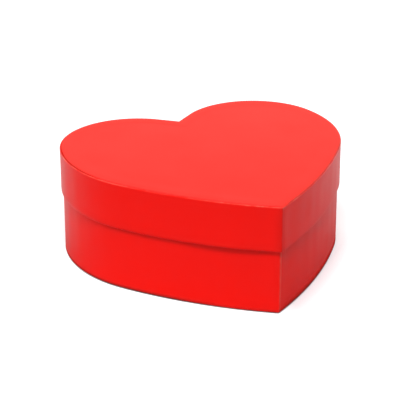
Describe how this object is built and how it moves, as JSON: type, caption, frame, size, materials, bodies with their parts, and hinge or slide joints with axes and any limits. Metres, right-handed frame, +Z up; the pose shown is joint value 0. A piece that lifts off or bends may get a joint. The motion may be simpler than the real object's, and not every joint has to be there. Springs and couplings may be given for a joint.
{
  "type": "heart-shaped gift box",
  "caption": "Heart-shaped rigid paper gift box in red, with a deep tray and a slip lid that lifts straight off.",
  "frame": {"origin": "on the table, under the middle of the closed lid's outline", "axes": "+X across the two lobes, +Z up the way the lid lifts, the heart's point towards -Y and its cleft towards +Y"},
  "size_m": [0.21, 0.2014, 0.0804],
  "materials": {
    "red_paper": "semi-gloss coated",
    "liner_paper": "uncoated, matte",
    "greyboard": "raw, matte",
    "stay_tape": "kraft, matte"
  },
  "bodies": {
    "base": {"base_bottom_board": "greyboard", "base_left_wall": "greyboard", "base_right_wall": "greyboard", "base_point_stay": "stay_tape", "base_cleft_stay": "stay_tape", "base_wall_wrap": "red_paper", "base_bottom_paper": "red_paper", "base_bottom_liner": "liner_paper", "base_wall_liner": "liner_paper"},
    "lid": {"lid_top_board": "greyboard", "lid_left_wall": "greyboard", "lid_right_wall": "greyboard", "lid_point_stay": "stay_tape", "lid_cleft_stay": "stay_tape", "lid_wall_wrap": "red_paper", "lid_top_paper": "red_paper", "lid_top_liner": "liner_paper", "lid_wall_liner": "liner_paper"}
  },
  "joints": [
    {"name": "lid_lift", "type": "slide", "parent": "base", "child": "lid", "axis": [0, 0, 1], "range_m": [0, 0.12]}
  ]
}
